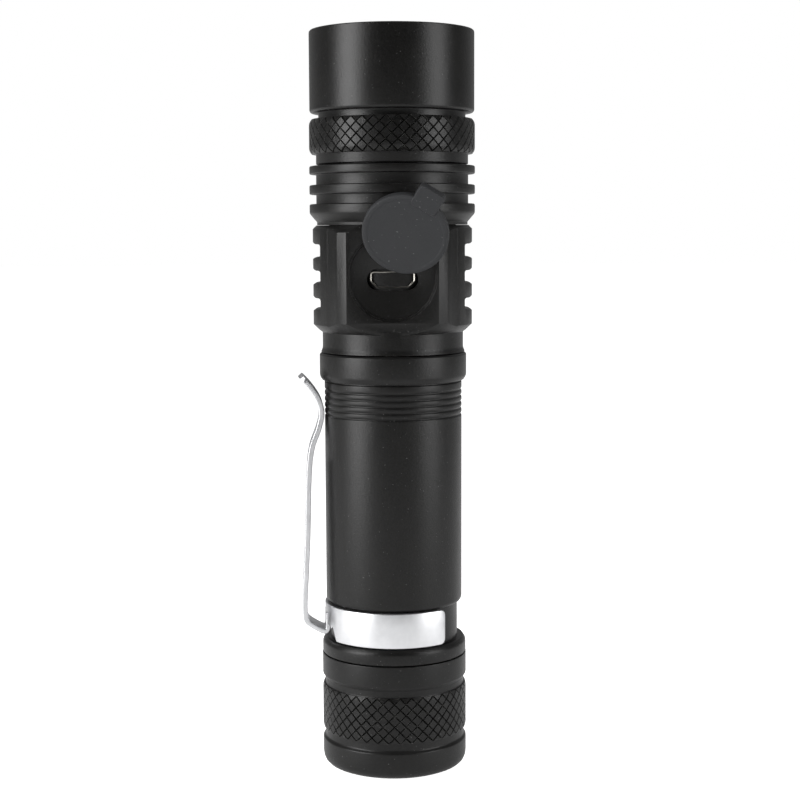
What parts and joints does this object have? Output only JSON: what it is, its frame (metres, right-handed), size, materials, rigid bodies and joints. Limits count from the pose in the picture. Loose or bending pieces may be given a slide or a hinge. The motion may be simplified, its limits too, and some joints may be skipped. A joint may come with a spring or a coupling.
{
  "type": "tactical flashlight",
  "caption": "Pocket-size tactical flashlight with a sliding focus head, side charging port under a swinging rubber cover, steel pocket clip and tail switch.",
  "frame": {"origin": "on the barrel axis, in the plane that the tail cap stands on", "axes": "+Z along the barrel axis, up to the lens; -Y towards the charging port; -X towards the pocket clip"},
  "size_m": [0.0305, 0.0351, 0.1268],
  "materials": {
    "anodised": "satin black anodising",
    "cover_rubber": "matt dark grey rubber",
    "black_rubber": "black nitrile rubber",
    "clip_steel": "bright plated spring steel",
    "spring_steel": "nickel-plated steel",
    "brass": "plain brass",
    "aluminium": "bare turned aluminium",
    "circuit_board": "green solder mask",
    "white_board": "white solder mask or fibre",
    "black_plastic": "moulded black plastic",
    "red_plastic": "red wire insulation",
    "phosphor": "yellow phosphor under clear silicone",
    "cell_wrap": "blue shrink wrap",
    "lens_glass": "clear polished lens"
  },
  "bodies": {
    "root": {"battery_tube": "anodised", "port_housing": "anodised", "finned_neck": "anodised", "front_tube_o_ring": "black_rubber", "tail_tube_o_ring": "black_rubber", "head_slide_o_ring": "black_rubber", "usb_socket_shell": "spring_steel", "battery_positive_cap": "spring_steel", "led_pill": "brass", "positive_contact": "brass", "usb_contact_1": "brass", "usb_contact_2": "brass", "usb_contact_3": "brass", "usb_contact_4": "brass", "usb_contact_5": "brass", "driver_board": "circuit_board", "charge_board": "circuit_board", "led_board": "white_board", "battery_insulator": "white_board", "led_wire_black": "black_plastic", "driver_inductor": "black_plastic", "charge_chip": "black_plastic", "usb_socket_tongue": "black_plastic", "led_wire_red": "red_plastic", "led_emitter": "phosphor", "battery_cell": "cell_wrap"},
    "head": {"head_barrel": "anodised", "bezel_ring": "anodised", "lens": "lens_glass", "lens_o_ring": "black_rubber"},
    "pocket_clip": {"pocket_clip": "clip_steel"},
    "cover_leash": {"cover_leash": "cover_rubber"},
    "usb_cover": {"usb_cover": "cover_rubber"},
    "tail_washer": {"boot_washer": "spring_steel"},
    "tail_cap": {"tail_cap": "anodised", "switch_body": "black_plastic", "switch_board": "circuit_board", "switch_retaining_ring": "aluminium", "tail_spring": "spring_steel"},
    "tail_button": {"switch_boot": "black_rubber", "switch_plunger": "black_plastic"}
  },
  "joints": [
    {"name": "head_zoom", "type": "slide", "parent": "root", "child": "head", "axis": [0, 0, 1], "range_m": [0, 0.007]},
    {"name": "clip_turn", "type": "hinge", "parent": "root", "child": "pocket_clip", "pos_m": [0, 0, 0.026], "axis": [0, 0, 1], "continuous": true},
    {"name": "leash_pull", "type": "slide", "parent": "root", "child": "cover_leash", "axis": [0, -0.9703, -0.2419], "range_m": [-0.0013, 0]},
    {"name": "cover_swing", "type": "hinge", "parent": "cover_leash", "child": "usb_cover", "pos_m": [0, -0.012, 0.0902], "axis": [0, -0.9703, -0.2419], "range_deg": [-149.05, 0.05]},
    {"name": "cap_travel", "type": "slide", "parent": "root", "child": "tail_washer", "axis": [0, 0, -1], "range_m": [-0.00001, 0.00601]},
    {"name": "cap_unscrew", "type": "hinge", "parent": "tail_washer", "child": "tail_cap", "pos_m": [0, 0, 0.01], "axis": [0, 0, -1], "range_deg": [0, 2160]},
    {"name": "tail_click", "type": "slide", "parent": "tail_cap", "child": "tail_button", "axis": [0, 0, 1], "range_m": [0, 0.0012], "stiffness_N_per_m": 1500}
  ],
  "couplings": [
    {"joint": "cover_swing", "follows": "leash_pull", "rad_per_m": 2000.4},
    {"joint": "cap_travel", "follows": "cap_unscrew", "m_per_rad": 0.00015915}
  ]
}
